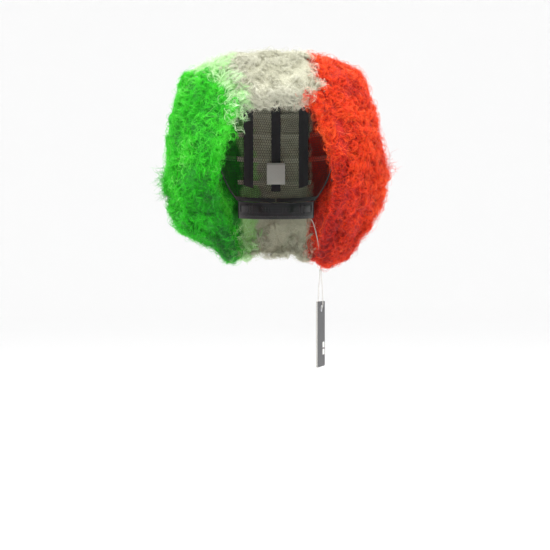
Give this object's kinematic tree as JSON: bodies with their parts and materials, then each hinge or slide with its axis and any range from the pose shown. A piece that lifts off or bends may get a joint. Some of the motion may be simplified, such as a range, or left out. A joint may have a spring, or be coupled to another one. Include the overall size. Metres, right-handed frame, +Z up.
{
  "type": "curly costume wig",
  "caption": "Big curly costume wig in green, white and orange-red on a stretch-net cap, with ear tabs, nape adjusters and a swing tag.",
  "frame": {"origin": "centre of the space for the head inside the cap, level with the tops of the wearer's ears", "axes": "+Z up, the face looks along -Y, +X is the wearer's left"},
  "size_m": [0.2877, 0.2619, 0.392],
  "materials": {
    "net": "stretch net",
    "cap_band": "ribbed elastic",
    "lining": "short velvet",
    "elastic": "ribbed elastic",
    "tape": "woven tape",
    "stay": "smooth",
    "green_weft": "stitched fibre",
    "orange_weft": "stitched fibre",
    "white_weft": "stitched fibre",
    "green_hair": "curly synthetic fibre",
    "white_hair": "curly synthetic fibre",
    "orange_hair": "curly synthetic fibre",
    "thread": "thread",
    "strap": "woven elastic",
    "hook": "moulded",
    "label": "satin",
    "string": "twisted cotton",
    "card": "coated card",
    "eyelet": "polished",
    "patch": "paper sticker"
  },
  "bodies": {
    "cap": {"crown_net": "net", "front_band": "cap_band", "forehead_lining": "lining", "right_edge_binding": "cap_band", "left_edge_binding": "cap_band", "nape_band": "cap_band", "nape_elastic": "elastic", "centre_tape": "tape", "right_tape": "tape", "left_tape": "tape", "ear_to_ear_tape": "tape", "green_weft_1": "green_weft", "green_weft_2": "green_weft", "green_weft_3": "green_weft", "green_weft_4": "green_weft", "orange_weft_1": "orange_weft", "orange_weft_2": "orange_weft", "orange_weft_3": "orange_weft", "orange_weft_4": "orange_weft", "white_weft_1": "white_weft", "white_weft_2": "white_weft", "white_weft_3": "white_weft", "white_weft_4": "white_weft", "white_weft_5": "white_weft", "white_weft_6": "white_weft", "white_weft_7": "white_weft", "green_front_hair": "green_hair", "green_side_hair": "green_hair", "green_back_hair": "green_hair", "white_fringe": "white_hair", "white_crown": "white_hair", "white_back_hair": "white_hair", "orange_front_hair": "orange_hair", "orange_side_hair": "orange_hair", "orange_back_hair": "orange_hair", "right_adjuster_loops": "thread", "left_adjuster_loops": "thread", "tag_string_anchor": "string"},
    "right_ear_flap": {"right_ear_tab": "cap_band", "right_ear_stay": "stay"},
    "left_ear_flap": {"left_ear_tab": "cap_band", "left_ear_stay": "stay"},
    "right_adjuster": {"right_adjuster_strap": "strap", "right_strap_hook": "hook"},
    "left_adjuster": {"left_adjuster_strap": "strap", "left_strap_hook": "hook"},
    "label": {"care_label": "label"},
    "tag_cord": {"tag_string": "string"},
    "swing_tag": {"tag_front_leaf": "card", "tag_back_leaf": "card", "tag_eyelet": "eyelet", "tag_patch": "patch"}
  },
  "joints": [
    {"name": "right_ear_flap_bend", "type": "hinge", "parent": "cap", "child": "right_ear_flap", "pos_m": [-0.07503, -0.02026, 0.00608], "axis": [0.165, -0.9863, 0], "range_deg": [0, 35]},
    {"name": "left_ear_flap_bend", "type": "hinge", "parent": "cap", "child": "left_ear_flap", "pos_m": [0.07503, -0.02026, 0.00608], "axis": [0.165, 0.9863, 0], "range_deg": [0, 35]},
    {"name": "right_adjuster_slide", "type": "hinge", "parent": "cap", "child": "right_adjuster", "pos_m": [0, 0.028, -0.0705], "axis": [0, 0, -1], "range_deg": [0, 20]},
    {"name": "left_adjuster_slide", "type": "hinge", "parent": "cap", "child": "left_adjuster", "pos_m": [0, 0.028, -0.0705], "axis": [0, 0, 1], "range_deg": [0, 20]},
    {"name": "label_lift", "type": "hinge", "parent": "cap", "child": "label", "pos_m": [0, 0.0932, -0.008], "axis": [-1, 0, 0], "range_deg": [0, 45]},
    {"name": "tag_swing", "type": "hinge", "parent": "cap", "child": "tag_cord", "pos_m": [0.056, 0.01, -0.15], "axis": [0, 1, 0], "range_deg": [-25, 25]},
    {"name": "tag_turn", "type": "hinge", "parent": "tag_cord", "child": "swing_tag", "pos_m": [0.056, 0.01, -0.198], "axis": [0.9703, -0.2419, 0], "range_deg": [-40, 40]}
  ]
}
